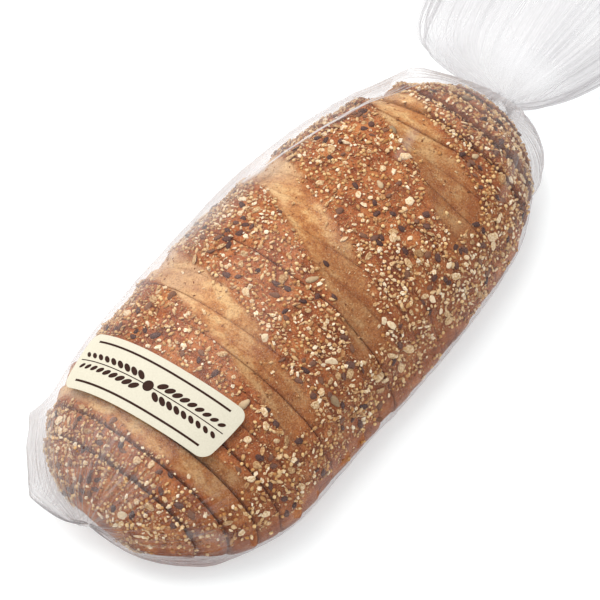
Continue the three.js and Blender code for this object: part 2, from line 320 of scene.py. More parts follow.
def mesh_object(name, points, faces, material, smooth=True):
    """A mesh from points in millimetres and faces of equal length, or a list of such face arrays."""
    mesh = bpy.data.meshes.new(name)
    groups = faces if isinstance(faces, list) else [faces]
    counts = join([np.full(len(group), group.shape[1]) for group in groups])
    corners = join([group.ravel() for group in groups])
    mesh.vertices.add(len(points))
    mesh.vertices.foreach_set("co", to_frame(points).ravel())
    mesh.loops.add(len(corners))
    mesh.loops.foreach_set("vertex_index", corners.astype(np.int32))
    mesh.polygons.add(len(counts))
    starts = join([[0], np.cumsum(counts)[:-1]])
    mesh.polygons.foreach_set("loop_start", starts.astype(np.int32))
    mesh.polygons.foreach_set("use_smooth", np.full(len(counts), smooth))
    mesh.update(calc_edges=True)
    mesh.validate()
    mesh.materials.append(material)
    return put_in_scene(name, mesh)


def set_attribute(piece, name, values):
    attribute = piece.data.attributes.new(name, "FLOAT", "POINT")
    attribute.data.foreach_set("value", np.asarray(values, np.float32).ravel())


def grid_faces(rows, columns, closed=True):
    """Quads of a grid of points, row after row. A closed grid's last column meets its first."""
    row = np.arange(rows - 1)[:, None]
    column = np.arange(columns if closed else columns - 1)[None, :]
    after = (column + 1) % columns
    here, there = row * columns, (row + 1) * columns
    return stack(here + column, here + after, there + after, there + column).reshape(-1, 4)


# ---- materials ----

class Nodes:
    """Short hand for a material's node tree."""

    def __init__(self, name):
        self.material = bpy.data.materials.new(name)
        self.material.use_nodes = True
        self.tree = self.material.node_tree
        self.shader = self.tree.nodes["Principled BSDF"]

    def add(self, kind, inputs=(), **settings):
        made = self.tree.nodes.new(kind)
        for name, value in settings.items():
            setattr(made, name, value)
        for name, value in dict(inputs).items():
            self.put(made, name, value)
        return made

    def put(self, made, name, value):
        socket = made.inputs[name]
        if isinstance(value, bpy.types.NodeSocket):
            self.tree.links.new(value, socket)
        else:
            socket.default_value = (*value, 1) if socket.type == "RGBA" else value

    def dressed(self, inputs):
        """The material, with these values on its shader."""
        for name, value in inputs.items():
            self.put(self.shader, name, value)
        return self.material

    def times(self, first, second):
        return self.math("MULTIPLY", first, second)

    def plus(self, first, second):
        return self.math("ADD", first, second)

    def place(self):
        return self.add("ShaderNodeTexCoord").outputs["Object"]

    def noise(self, place, size_mm, detail=3.0, rough=0.55):
        made = self.add("ShaderNodeTexNoise", {
            "Vector": place, "Scale": 1 / (size_mm * MM), "Detail": detail, "Roughness": rough,
        })
        return made.outputs["Fac"]

    def attribute(self, name):
        return self.add("ShaderNodeAttribute", attribute_name=name).outputs["Fac"]

    def ramp(self, value, stops):
        made = self.add("ShaderNodeValToRGB", {"Fac": value})
        band = made.color_ramp
        while len(band.elements) < len(stops):
            band.elements.new(0.5)
        for element, (spot, colour) in zip(band.elements, stops):
            element.position = spot
            element.color = (*colour, 1)
        return made.outputs["Color"]

    def mix(self, share, first, second, blend="MIX"):
        inputs = {0: share, 6: first, 7: second}
        return self.add("ShaderNodeMix", inputs, data_type="RGBA", blend_type=blend).outputs[2]

    def math(self, operation, first, second=0.0, clamp=False):
        made = self.add("ShaderNodeMath", {0: first, 1: second}, operation=operation, use_clamp=clamp)
        return made.outputs[0]

    def map(self, value, low, high, at_low=0.0, at_high=1.0):
        made = self.add("ShaderNodeMapRange", {
            "Value": value, "From Min": low, "From Max": high, "To Min": at_low, "To Max": at_high,
        }, interpolation_type="SMOOTHSTEP")
        return made.outputs["Result"]

    def line(self, place, start, end, half_width):
        """1 along a line between two points seen from above, fading out across it and at its ends."""
        start, end = to_frame([*start, 0]), to_frame([*end, 0])
        length = np.linalg.norm(end - start)
        along = (end - start) / length
        aside = np.array([-along[1], along[0], 0])
        shares = []
        for axis in (along, aside):
            made = self.add("ShaderNodeVectorMath", {0: place, 1: tuple(axis)}, operation="DOT_PRODUCT")
            shares.append(self.math("SUBTRACT", made.outputs["Value"], float(axis @ start)))
        width = self.map(self.math("ABSOLUTE", shares[1]), 0.0, half_width * MM, 1.0, 0.0)
        rise = self.map(shares[0], 0.0, 0.12 * length)
        fall = self.map(shares[0], 0.7 * length, length, 1.0, 0.0)
        return self.times(width, self.times(rise, fall))

    def bump(self, height, strength, distance_mm):
        inputs = {"Height": height, "Strength": strength, "Distance": distance_mm * MM}
        return self.add("ShaderNodeBump", inputs).outputs["Normal"]


def crust_material():
    """Baked crust: orange-brown and mottled, darker low down, golden and finely grained in the slashes, with
    painted shade on its right side and along the cuts, and painted light paling the slashes on the left.
    """
    nodes = Nodes("crust")
    place = nodes.place()
    slash = nodes.attribute("slash")
    bake_and_shade = nodes.attribute("bake_and_shade")
    mottle = nodes.noise(place, 9, 6, 0.65)
    speckle = nodes.noise(place, 0.95, 4, 0.75)
    brown = nodes.ramp(mottle, [
        (0.34, (0.190, 0.038, 0.008)), (0.48, (0.378, 0.098, 0.022)), (0.64, (0.565, 0.200, 0.056)),
    ])
    stretched = nodes.add("ShaderNodeMapping", {"Vector": place, "Scale": (1.5, 0.75, 0.75)})
    streak = nodes.noise(stretched.outputs["Vector"], 12, 7, 0.68)
    golden = nodes.ramp(streak, [
        (0.38, (0.400, 0.128, 0.028)), (0.49, (0.590, 0.262, 0.078)), (0.60, (0.790, 0.490, 0.212)),
    ])
    # Painted light: the slashes are paler on the lit left side.
    golden = nodes.mix(nodes.attribute("pale"), golden, (0.880, 0.650, 0.420))
    rim = nodes.ramp(slash, [(0.0, (0, 0, 0)), (0.35, (1, 1, 1)), (0.8, (0, 0, 0))])
    colour = nodes.mix(slash, brown, golden)
    colour = nodes.mix(nodes.times(rim, 0.5), colour, (0.380, 0.115, 0.020))
    # Dark brown from baking low down and in patches, and as painted shade on the right side and along the
    # cuts.
    colour = nodes.mix(nodes.times(bake_and_shade, 0.75), colour, (0.190, 0.045, 0.010))
    fine = nodes.ramp(speckle, [(0.36, (0.52, 0.44, 0.38)), (0.50, (0.92, 0.90, 0.88)), (0.60, (1, 1, 1))])
    colour = nodes.mix(0.95, colour, fine, "MULTIPLY")
    flour = nodes.noise(place, 0.7, 3, 0.6)
    dust = nodes.times(nodes.ramp(flour, [(0.56, (0, 0, 0)), (0.66, (1, 1, 1))]), 0.30)
    colour = nodes.mix(dust, colour, (0.800, 0.560, 0.300))
    relief = nodes.plus(nodes.times(speckle, 0.7), nodes.noise(place, 3.2, 4, 0.65))
    roughness = nodes.plus(nodes.times(speckle, 0.4), 0.4)
    return nodes.dressed({
        "Base Color": colour, "Roughness": roughness, "Specular IOR Level": 0.18,
        "Normal": nodes.bump(relief, 0.8, 1.0),
    })


def crumb_material():
    """The cut faces of the slices: pale and open-pored, brown where they meet the crust."""
    nodes = Nodes("crumb")
    place = nodes.place()
    pores = nodes.noise(place, 2.2, 5, 0.7)
    colour = nodes.ramp(pores, [(0.36, (0.230, 0.120, 0.050)), (0.52, (0.560, 0.380, 0.210))])
    crust = nodes.ramp(nodes.attribute("skin"), [(0.90, (0, 0, 0)), (0.96, (1, 1, 1))])
    colour = nodes.mix(crust, colour, (0.240, 0.085, 0.026))
    return nodes.dressed({
        "Base Color": colour, "Roughness": 0.9, "Specular IOR Level": 0.1,
        "Normal": nodes.bump(pores, 0.8, 0.8),
    })


def grain_material(name, stops, roughness, mottling):
    """Seeds and flakes: each piece's own tone picks its colour, with fine mottling over it."""
    nodes = Nodes(name)
    mottle = nodes.noise(nodes.place(), 0.8, 3, 0.6)
    uneven = nodes.times(nodes.math("SUBTRACT", mottle, 0.5), mottling)
    tone = nodes.plus(nodes.attribute("tone"), uneven)
    return nodes.dressed({
        "Base Color": nodes.ramp(tone, stops), "Roughness": roughness, "Specular IOR Level": 0.25,
        "Normal": nodes.bump(mottle, 0.35, 0.25),
    })


# Creases drawn as milky lines, partly real folds and partly painted highlights where they catch the light:
# their ends as (x, y) seen from above, half width and strength.
CREASES_AND_HIGHLIGHTS = [
    ((20, 50), (124, 29), 1.1, 0.55),
    ((17, 51), (34, 46), 2.6, 0.40),
    ((52, 44), (126, 26), 0.8, 0.35),
    ((70, 42), (128, 22), 0.7, 0.30),
    ((84, 44), (126, 33), 0.8, 0.40),
    ((60, 52), (122, 36), 0.9, 0.35),
    ((67, -2), (94, 6), 4.5, 0.16),
    ((88, -47), (124, -34), 3.0, 0.14),
    ((-134, -40), (-118, -58), 2.0, 0.20),
]


WHITE_VEIL = (0.725, 0.715, 0.720)
CRUST_REFLECTION_VEIL = (0.570, 0.410, 0.380)  # painted reflection of the crust, in shade, where folded film lies against it


def film_material():
    """Thin clear film: greyer and milkier where it is creased or turns away, glossy at low angles. Creases
    carry partly painted highlights, and the folded corner a painted reflection of the crust.
    """
    nodes = Nodes("film")
    nodes.tree.nodes.remove(nodes.shader)
    place = nodes.place()
    inputs = {"X": nodes.attribute("turn"), "Y": nodes.attribute("along")}
    round_bag = nodes.add("ShaderNodeCombineXYZ", inputs)
    lines = nodes.noise(round_bag.outputs[0], 1 / MM, 3, 0.6)
    # The fine crease streaks are partly real folds and partly painted highlights.
    crease = nodes.ramp(lines, [(0.47, (0, 0, 0)), (0.56, (1, 1, 1)), (0.62, (0.1, 0.1, 0.1))])
    creased = nodes.times(crease, nodes.attribute("creased"))
    for start, end, half_width, strength in CREASES_AND_HIGHLIGHTS:
        share = nodes.times(nodes.line(place, start, end, half_width), strength)
        creased = nodes.plus(creased, nodes.times(share, nodes.attribute("upper")))
    crinkle = nodes.noise(place, 8, 4, 0.6)
    height = nodes.plus(crinkle, nodes.times(creased, 2.0))
    normal = nodes.bump(height, 0.4, 0.8)
    facing = nodes.add("ShaderNodeLayerWeight", {"Blend": 0.5, "Normal": normal}).outputs["Facing"]
    haze = nodes.plus(nodes.attribute("haze"), creased)
    turned = nodes.plus(nodes.times(nodes.math("POWER", facing, 3.0), 1.6), 1.0)
    haze = nodes.math("MULTIPLY", haze, turned, clamp=True)
    tint = nodes.ramp(haze, [
        (0.0, (0.990, 0.988, 0.988)), (0.2, (0.955, 0.950, 0.952)), (0.6, (0.88, 0.865, 0.867)),
    ])
    veil = nodes.mix(nodes.attribute("crust_reflection"), WHITE_VEIL, CRUST_REFLECTION_VEIL)
    clear = nodes.add("ShaderNodeBsdfTransparent", {"Color": tint}).outputs[0]
    milk = nodes.add("ShaderNodeBsdfDiffuse", {"Color": veil, "Normal": normal}).outputs[0]
    through = nodes.add("ShaderNodeBsdfTranslucent", {"Color": veil}).outputs[0]
    milky = nodes.add("ShaderNodeMixShader", {0: 0.4, 1: milk, 2: through}).outputs[0]
    gloss = nodes.add("ShaderNodeBsdfAnisotropic", {
        "Color": (0.95, 0.95, 0.97), "Roughness": 0.18, "Normal": normal,
    }).outputs[0]
    body = nodes.add("ShaderNodeMixShader", {0: haze, 1: clear, 2: milky}).outputs[0]
    glancing = nodes.plus(nodes.times(nodes.math("POWER", facing, 5.0), 0.35), 0.012)
    film = nodes.add("ShaderNodeMixShader", {0: glancing, 1: body, 2: gloss}).outputs[0]
    nodes.put(nodes.tree.nodes["Material Output"], "Surface", film)
    return nodes.material


def plain_material(name, grain, dark, light, values, relief=None):
    """One colour that drifts between two tones, with a faint relief if one is given."""
    nodes = Nodes(name)
    fleck = nodes.noise(nodes.place(), *grain)
    if relief:
        values = {**values, "Normal": nodes.bump(fleck, *relief)}
    return nodes.dressed({"Base Color": nodes.ramp(fleck, [(0.3, dark), (0.7, light)]), **values})


# ---- the sliced loaf ----

CRUST_AROUND = 250
END_SHARES = 1 - np.cos(np.linspace(0.06, np.pi / 2, 22))
RING_SHARES = np.array([0, 0.03, 0.08, 0.17, 0.28, 0.39, 0.5, 0.61, 0.72, 0.83, 0.92, 0.97, 1])
EDGE_DEPTH = 0.5  # how far the crust is drawn in at a cut edge, and how far from the edge that reaches
EDGE_REACH = 0.7
CUT_DEPTH = (1.2, 0.9)  # where the cuts narrow, and how much deeper for each mm of their width
CUT_FLOOR = 0.12  # the width left between two slices below that
# Outside the slashes the cut walls are fully dark brown, as painted shade in the gaps between slices.
EDGE_SLASH = 0.8  # how golden a cut's wall is inside a slash, and how much less brown
EDGE_PALING = 0.5


def slice_stations(number):
    """Where a slice's rings lie along X, and how much the crust is drawn in there at a cut edge."""
    first, last = number == 0, number == CUT_COUNT
    low = EDGES[number] + (0 if first else GAPS[number - 1] / 2)
    high = EDGES[number + 1] - (0 if last else GAPS[number] / 2)
    shares = END_SHARES if first else 1 - END_SHARES[::-1] if last else RING_SHARES
    stations = low + (high - low) * shares
    at_low = bump(stations - low, EDGE_REACH) * (not first)
    at_high = bump(stations - high, EDGE_REACH) * (not last)
    return stations, EDGE_DEPTH * (at_low + at_high)


def crust_looks(x, turn, drawn_in):
    """How much each spot of a slice's crust is slash, how dark it is from baking and painted shade, and how
    pale it is on the lit side as painted light.
    """
    base = crust_base(x, turn).reshape(-1, 3)
    inside = slash_share(base[:, 0], base[:, 1], base) * ease(np.sin(turn).ravel(), 0.05, 0.3)
    low_down = 1 - ease(base[:, 2], 4, 34)
    # The right side, away from the lamp, gets painted shade.
    to_right = ease(-base[:, 1], -8, 52)
    edge = np.repeat(drawn_in / EDGE_DEPTH, CRUST_AROUND)
    browned_and_shaded = 0.10 * low_down + 0.24 * to_right + 0.18 * noise(base, 24, 31)
    # Painted shade along each cut, where the gap between slices lies in shade.
    browned_and_shaded += 0.40 * edge * (1 - 0.5 * inside)
    # Painted shade: the slashes are browner towards the right.
    browned_and_shaded += inside * (0.40 * ease(-base[:, 1], -20, 25) + 0.12)
    # Painted light: the slashes are paler towards the lit left side, varied at random.
    paler_on_lit_side = ease(base[:, 1], 12, 54) * (0.60 + 0.5 * noise(base * [0.6, 0.3, 0.3], 6, 32))
    return inside, np.clip(browned_and_shaded, 0, 1), np.clip(paler_on_lit_side * inside, 0, 1)


def make_loaf():
    """All the slices in one mesh: crust round each, crumb on its cut faces."""
    angle = np.linspace(0, 2 * np.pi, CRUST_AROUND, endpoint=False)
    points, quads, fans = [], [], []
    looks = {"slash": [], "bake_and_shade": [], "pale": [], "skin": []}
    gaps_at = join([[CUT_FLOOR], GAPS, [CUT_FLOOR]])
    count = 0
    for number in range(SLICE_COUNT):
        stations, drawn_in = slice_stations(number)
        x, turn = np.meshgrid(stations, angle, indexing="ij")
        surface = crust_points(x, turn, number)
        middle = surface.mean(axis=1, keepdims=True)
        away = surface - middle
        reach = np.linalg.norm(away, axis=-1, keepdims=True)
        inward = away / np.maximum(reach, 1e-6)
        surface = surface - inward * np.minimum(drawn_in[:, None, None], reach)
        gaps = gaps_at[number:number + 2]
        depth = CUT_DEPTH[0] + CUT_DEPTH[1] * gaps[:, None, None]
        inner = surface[[0, -1]] - inward[[0, -1]] * np.minimum(depth, 0.5 * reach[[0, -1]])
        inner[0, :, 0] -= (gaps[0] - CUT_FLOOR) / 2
        inner[1, :, 0] += (gaps[1] - CUT_FLOOR) / 2
        surface = join([inner[:1], surface, inner[1:]])
        flat = surface.reshape(-1, 3)
        rows = len(stations) + 2
        quads.append(count + grid_faces(rows, CRUST_AROUND))
        for index, row in enumerate((0, rows - 1)):
            ring = count + row * CRUST_AROUND + np.arange(CRUST_AROUND)
            hub = np.full(CRUST_AROUND, count + len(flat) + index)
            fan = stack(hub, ring, np.roll(ring, -1))
            fans.append(fan if index else fan[:, ::-1])
        hubs = np.stack([surface[0].mean(axis=0), surface[-1].mean(axis=0)])
        points.append(join([flat, hubs]))
        inside, browned_and_shaded, paler_on_lit_side = crust_looks(x, turn, drawn_in)
        first, last = inside[:CRUST_AROUND], inside[-CRUST_AROUND:]
        # The cut walls take full brown outside the slashes: painted shade in the gaps.
        looks["slash"] += [EDGE_SLASH * first, inside, EDGE_SLASH * last, [0, 0]]
        looks["bake_and_shade"] += [1 - EDGE_PALING * first, browned_and_shaded, 1 - EDGE_PALING * last, [0, 0]]
        looks["pale"] += [0 * first, paler_on_lit_side, 0 * last, [0, 0]]
        looks["skin"] += [np.ones(len(flat)), [0, 0]]
        count += len(flat) + 2
    piece = mesh_object("loaf_slices", join(points), [join(quads), join(fans)], CRUST)
    piece.data.materials.append(CRUMB)
    quad_count = sum(len(group) for group in quads)
    kinds = np.zeros(quad_count + sum(len(group) for group in fans), np.int32)
    kinds[quad_count:] = 1
    piece.data.polygons.foreach_set("material_index", kinds)
    for name, shares in looks.items():
        set_attribute(piece, name, join(shares))
    return piece


# ---- seeds and flakes ----

TRIES_FOR_EACH = 7
BARE_END = 1.2
SEEDED_ANGLES = np.radians((-32, 212))
LABEL_MARGIN = 3


def ball(around, rings, taper=0.0):
    """A closed ball of radius 1 with its poles along its first axis, thinner towards one end by taper."""
    points = [(-1, 0, 0)]
    for ring in range(1, rings):
        turn = np.pi * ring / rings
        radius = np.sin(turn) * (1 + taper * np.cos(turn))
        for step in range(around):
            spin = 2 * np.pi * (step + 0.5 * (ring % 2)) / around
            points.append((-np.cos(turn), radius * np.cos(spin), radius * np.sin(spin)))
    points.append((1, 0, 0))
    faces = []
    for step in range(around):
        after = (step + 1) % around
        faces.append((0, 1 + after, 1 + step))
        last = 1 + (rings - 2) * around
        faces.append((len(points) - 1, last + step, last + after))
        for ring in range(rings - 2):
            here = 1 + ring * around
            there = here + around
            faces.append((here + step, here + after, there + step))
            faces.append((here + after, there + after, there + step))
    return np.array(points, float), np.array(faces)


def flake(around):
    """A flat round flake: a rim between a raised upper and a lower middle."""
    points = [(0, 0, 0.9), (0, 0, -0.9)]
    for radius, height in ((0.62, 0.95), (1.0, 0.0), (0.62, -0.95)):
        for step in range(around):
            spin = 2 * np.pi * step / around
            points.append((radius * np.cos(spin), radius * np.sin(spin), height))
    faces = []
    for step in range(around):
        after = (step + 1) % around
        upper, rim, lower = 2, 2 + around, 2 + 2 * around
        faces.append((0, upper + step, upper + after))
        faces.append((1, lower + after, lower + step))
        for first, second in ((upper, rim), (rim, lower)):
            faces.append((first + step, second + step, first + after))
            faces.append((first + after, second + step, second + after))
    return np.array(points, float), np.array(faces)


class Crowd:
    """Remembers where pieces lie, so that none lands on another."""

    CELL = 5.0

    def __init__(self):
        self.cells = {}

    def take(self, spot, radius):
        """True if there is room, and then the room is taken."""
        home = tuple(int(value) for value in spot // self.CELL)
        for step in itertools.product((-1, 0, 1), repeat=3):
            cell = tuple(map(sum, zip(home, step)))
            for other, other_radius in self.cells.get(cell, ()):
                if np.dot(spot - other, spot - other) < (radius + other_radius) ** 2:
                    return False
        self.cells.setdefault(home, []).append((spot, radius))
        return True


def under_label(points, margin):
    middle = LABEL_MIDDLE_X + LABEL_LEAN * points[..., 1]
    along = np.abs(points[..., 0] - middle) < LABEL_WIDTH / 2 + margin
    return along & (points[..., 1] > LABEL_RIGHT_Y - margin) & (points[..., 2] > 20)


def scatter_places(kind, seed, crowd):
    """Random spots on the crust with their outward directions, thinner in slashes, down the sides and between
    clumps."""
    random = np.random.default_rng(seed)
    tries = kind.wanted * TRIES_FOR_EACH
    x = random.uniform(-NEAR_HALF_LENGTH + BARE_END, FAR_HALF_LENGTH - BARE_END, tries)
    angle = random.uniform(*SEEDED_ANGLES, tries)
    base = crust_base(x, angle)
    keep = random.uniform(0, 1, tries)
    inside = slash_share(base[:, 0], base[:, 1], base)
    density = np.where(inside > 0.35, kind.in_slash, 1.0)
    to_right = ease(-base[:, 1], 10, 40)
    density *= ease(base[:, 2] + 5 * noise(base, 13, 71), 5 + 9 * to_right, 15 + 11 * to_right)
    density *= 1 - 0.5 * to_right * ease(-x, 60, 120)
    clumps = noise(base, kind.clump_mm, seed + 50) + 0.5 * noise(base, kind.clump_mm / 2.2, seed + 51)
    clumps = 0.5 + 0.5 * clumps
    density *= 1 - kind.clumping + kind.clumping * ease(clumps, 0.3, 0.7)
    near_cut = np.abs(x[:, None] - CUTS).min(axis=1)
    density *= ease(near_cut, 0.2, 0.9 * kind.room + 0.3)
    chosen = (keep < density) & ~under_label(base, LABEL_MARGIN)
    x, angle = x[chosen], angle[chosen]
    number = np.searchsorted(CUTS, x)
    spots = crust_points(x, angle, number)
    normals = outward(lambda a, b: crust_points(a, b, number), x, angle)
    taken = []
    for index in range(len(spots)):
        if crowd.take(spots[index], kind.room):
            taken.append(index)
        if len(taken) == kind.wanted:
            break
    return spots[taken], normals[taken]


def scatter(kind, places, material, seed):
    """One mesh of many copies of a kind's form, each turned, sized, tilted and toned on its own."""
    random = np.random.default_rng(seed)
    shape, faces = kind.form
    spots, normals = places
    count = len(spots)
    helper = np.cross(normals, random.normal(size=(count, 3)))
    leaning = unit(normals + kind.tilt * random.normal(size=(count, 3)))
    across = unit(np.cross(leaning, helper))
    along = np.cross(across, leaning)
    axes = np.stack([along, across, leaning], axis=1)
    sizes = np.array(kind.half_sizes) * (1 + kind.spread * random.uniform(-1, 1, (count, 1)))
    sizes = sizes * (1 + 0.5 * kind.spread * random.uniform(-1, 1, (count, 3)))
    bent = shape[None] * (1 + kind.wobble * random.uniform(-1, 1, (count, len(shape), 1)))
    points = spots[:, None] + np.einsum("nmj,njk->nmk", bent * sizes[:, None], axes)
    points += (normals * kind.lift)[:, None]
    offsets = np.arange(count)[:, None, None] * len(shape)
    faces = (faces[None] + offsets).reshape(-1, 3)
    piece = mesh_object(kind.name, points.reshape(-1, 3), faces, material, kind.name not in FLAT_SHADED)
    set_attribute(piece, "tone", np.repeat(random.uniform(0, 1, count), len(shape)))
    return piece


# A kind has the half sizes of one piece, the room it takes, its clumps' size and strength, the share kept in
# slashes, its lift, tilt, unevenness and spread of sizes, its form, its roughness and its colour stops.
Kind = collections.namedtuple("Kind", (
    "name wanted half_sizes room clump_mm clumping in_slash lift tilt wobble spread form rough stops"))

# The largest kinds are laid first.
KINDS = itertools.starmap(Kind, [
    ("oat_flakes", 170, (2.3, 1.6, 0.45), 1.9, 26, 0.8, 0.04, 0.3, 0.3, 0.24, 0.35, flake(9), 0.8,
     [(0.0, (0.32, 0.16, 0.06)), (0.4, (0.58, 0.37, 0.18)), (0.9, (0.80, 0.64, 0.43))]),
    ("sunflower_kernels", 10, (3.4, 1.8, 1.0), 2.6, 40, 0.9, 0.0, 0.35, 0.1, 0.06, 0.2, ball(8, 6, 0.3), 0.7,
     [(0.1, (0.26, 0.17, 0.09)), (0.5, (0.42, 0.28, 0.15)), (0.9, (0.54, 0.39, 0.23))]),
    ("flax_seeds", 270, (2.2, 1.35, 0.60), 1.2, 11, 1.0, 0.05, 0.05, 0.25, 0.12, 0.2, ball(8, 5, 0.25), 0.7,
     [(0.1, (0.060, 0.022, 0.016)), (0.5, (0.112, 0.046, 0.032)), (0.95, (0.20, 0.085, 0.042))]),
    ("oat_bits", 2800, (1.1, 0.86, 0.38), 0.75, 11, 0.9, 0.03, 0.35, 0.5, 0.34, 0.42, flake(5), 0.85,
     [(0.0, (0.35, 0.15, 0.05)), (0.35, (0.59, 0.35, 0.15)), (0.75, (0.76, 0.56, 0.33)),
      (1.0, (0.88, 0.76, 0.57))]),
    ("sesame_seeds", 800, (1.3, 0.78, 0.45), 0.85, 14, 0.8, 0.02, 0.3, 0.3, 0.1, 0.3, ball(6, 5, 0.35), 0.7,
     [(0.1, (0.38, 0.17, 0.05)), (0.5, (0.55, 0.31, 0.12)), (0.9, (0.70, 0.48, 0.25))]),
    ("millet_grains", 2100, (0.86, 0.82, 0.72), 0.75, 10, 0.9, 0.015, 0.3, 0.2, 0.08, 0.25, ball(6, 4), 0.6,
     [(0.1, (0.44, 0.19, 0.05)), (0.4, (0.62, 0.34, 0.12)), (0.9, (0.80, 0.56, 0.27))]),
    ("bran_flecks", 7500, (0.62, 0.40, 0.20), 0.4, 8, 0.75, 0.06, 0.1, 0.4, 0.3, 0.45, ball(4, 3), 0.8,
     [(0.1, (0.20, 0.06, 0.015)), (0.5, (0.47, 0.20, 0.065)), (0.9, (0.74, 0.52, 0.29))]),
])
FLAT_SHADED = ("oat_flakes", "oat_bits")
FLAKE_MOTTLING = 2.4
SEED_MOTTLING = 0.8


def make_toppings():
    crowd, pieces = Crowd(), []
    for seed, kind in enumerate(KINDS, start=100):
        mottling = FLAKE_MOTTLING if kind.name in FLAT_SHADED else SEED_MOTTLING
        material = grain_material(kind.name, kind.stops, kind.rough, mottling)
        pieces.append(scatter(kind, scatter_places(kind, seed, crowd), material, seed + 20))
    return pieces


# ---- the bag ----

FILM_AROUND = 420
PLEAT_PHASES = np.random.default_rng(3).uniform(0, 2 * np.pi, 8)
NEAR_TURN_SHARE = 0.16  # the share of the film over the loaf, at its near end, whose rings lie closer

# The bag's left corner at the near end: how far left it lies along X, and its height.
LEFT_EAR = (-151.8, -149, -142, -135, -123, -111, -97, -82, -67, -50), (
    10, 34, 42, 52, 62.5, 60, 61, 64, 64.3, 62)
LEFT_EAR_HEIGHT = 13.0
LEFT_EAR_HALF_HEIGHT = 11.0
SEAM_REACH = 7.0  # how far the end seam stands out there
# The film's skirt along the right foot: how far beyond the loaf it reaches along X, and its height.
SKIRT = (-148, -138, -130, -122, -108, -75, -52, -25, 110, 125), (0, 2.5, 5, 3, 1, 2, 3.5, 1.5, 1, 0)
SKIRT_HEIGHT = 3.0
SKIRT_HALF_HEIGHT = 9.0
FILM_ON_FLANK = 0.92  # how much of the flank's fullness the film takes on

# How milky and how creased the film is: all over the loaf, added in each place there, and on shoulder and
# tail, where the haze changes evenly from the first ring to the last.
PLAIN_FILM = (0.006, 0.015)
FILM_PLACES = {
    "standing off": (0.07, 0.03), "left": (0.17, 0.04), "near left": (0.17, 0), "near end": (0, 0.17),
    "far end": (0.09, 0.06), "right": (0.20, 0), "flap": (0.42, 0.15), "folded": (0.20, 0.06),
}
SHOULDER_HAZE = (0.11, 0.27)
TAIL_HAZE = (0.29, 0.26)
SHOULDER_CREASED = 0.05
TAIL_CREASED = 0.04
CREASE_LINES = 22  # creases in each radian round the bag, and one more in each of these lengths along it
CREASE_LENGTH = 45


def ridge_reach(x, angle):
    """How far the film stands off in its ridge, which falls straight to the fold line and downwards."""
    peak = np.interp(x, *RIDGE_PEAK)
    below = peak - angle
    tent = np.where(below < 0, 1 + below / (FOLD_ANGLE - peak), 1 - below / RIDGE_FOOT)
    return np.interp(x, *RIDGE) * np.clip(tent, 0, 1)


def film_on_loaf(x, angle):
    """The film where it hugs the loaf, sunk a little over the slashes."""
    base = section_points(x, angle, FILM_CLEARANCE, FILM_UNDER_POWER)
    distance, openness = slash_distance(base[..., 0], base[..., 1])
    up = np.maximum(np.sin(angle), 0)
    base[..., 2] -= 0.4 * SLASH_DEPTH * np.clip(1 - distance ** 2, 0, 1) * openness * np.sqrt(up)
    return base


def film_over_loaf(x, angle):
    """The film over the loaf, with the bag's corners, its skirt and its ridge standing off it."""
    points = film_on_loaf(x, angle)
    z = points[..., 2]
    across = np.cos(angle)
    half_width = loaf_section(x, FILM_CLEARANCE)[0]
    ear = np.maximum(np.interp(x, *LEFT_EAR) - half_width, 0)
    to_left = bump(z - LEFT_EAR_HEIGHT, LEFT_EAR_HALF_HEIGHT) * np.sqrt(np.clip(across, 0, 1))
    ear = np.where(x < LEFT_EAR[0][-1], ear, 0) * to_left
    seam = SEAM_REACH * to_left * ease(-x, 126, 150)
    skirt = np.interp(x, *SKIRT) * bump(z - SKIRT_HEIGHT, SKIRT_HALF_HEIGHT)
    skirt = skirt * np.sqrt(np.clip(-across, 0, 1))
    flank = FILM_ON_FLANK * np.interp(x, *FLANK) * low_on_right(points)
    ridge = ridge_reach(x, angle)
    points[..., 0] -= seam
    points[..., 1] += ear - skirt - flank + ridge * across
    points[..., 2] += ridge * np.maximum(np.sin(angle), 0)
    return points


def pleats(angle, counts, sharpness=1.0):
    """Folds round the bag, from -1 to 1, as a sum of waves with their own phases."""
    total = 0
    for index, count in enumerate(counts):
        wave = np.sin(count * angle + PLEAT_PHASES[index] + 0.8 * np.sin((index + 2) * angle))
        total = total + (1 - 2 * np.abs(wave) ** sharpness) / len(counts)
    return total


def film_wrinkles(points, x, angle):
    """Small folds: radiating from both ends and faint ones along the slices."""
    flat = points.reshape(-1, 3)
    near = ease(-x, 112, 146)
    far = ease(x, 92, 120)
    radiating = pleats(angle, (34, 47, 61)) * (0.9 * near + 0.8 * far)
    patches = (0.5 + 0.5 * noise(flat, 22, 41)).reshape(x.shape)
    small = 0.18 * noise(flat * [1.4, 0.5, 0.5], 4, 42) + 0.3 * noise(flat * [1, 0.4, 0.4], 14, 43)
    return radiating * patches + small.reshape(x.shape)


def shoulder_ring(share, angle):
    """Between the shoulder and the neck the film leaves the loaf and is drawn together."""
    x = SHOULDER_X + (NECK_X - SHOULDER_X) * share
    hugging = np.clip(1.2 * np.sin(angle), 0, 1) * (0.5 + 0.5 * np.clip(2 * np.cos(angle), -1, 1))
    keep = (1 - share ** 2) ** (SHOULDER_POWER + 0.35 * hugging)
    start = film_on_loaf(np.array(SHOULDER_X), angle)
    folds = pleats(angle, (17, 29, 43))
    radius = NECK_RADIUS + (0.4 + 1.2 * share ** 2) * folds
    neck_y = radius * np.cos(angle)
    neck_z = NECK_HEIGHT + radius * np.sin(angle)
    y = neck_y + (start[..., 1] - neck_y) * keep
    z = neck_z + (start[..., 2] - neck_z) * keep
    crease = 1.3 * folds * share * (1 - share ** 3) + ridge_reach(x, angle)
    points = stack(x + 0 * y + 0.6 * crease, y + crease * np.cos(angle), z + crease * np.sin(angle))
    points[..., 2] = np.maximum(points[..., 2], 0)
    return points


def opened(steps, distance):
    return NECK_RADIUS + sum(reach * (1 - np.exp(-distance / over)) for reach, over in steps)


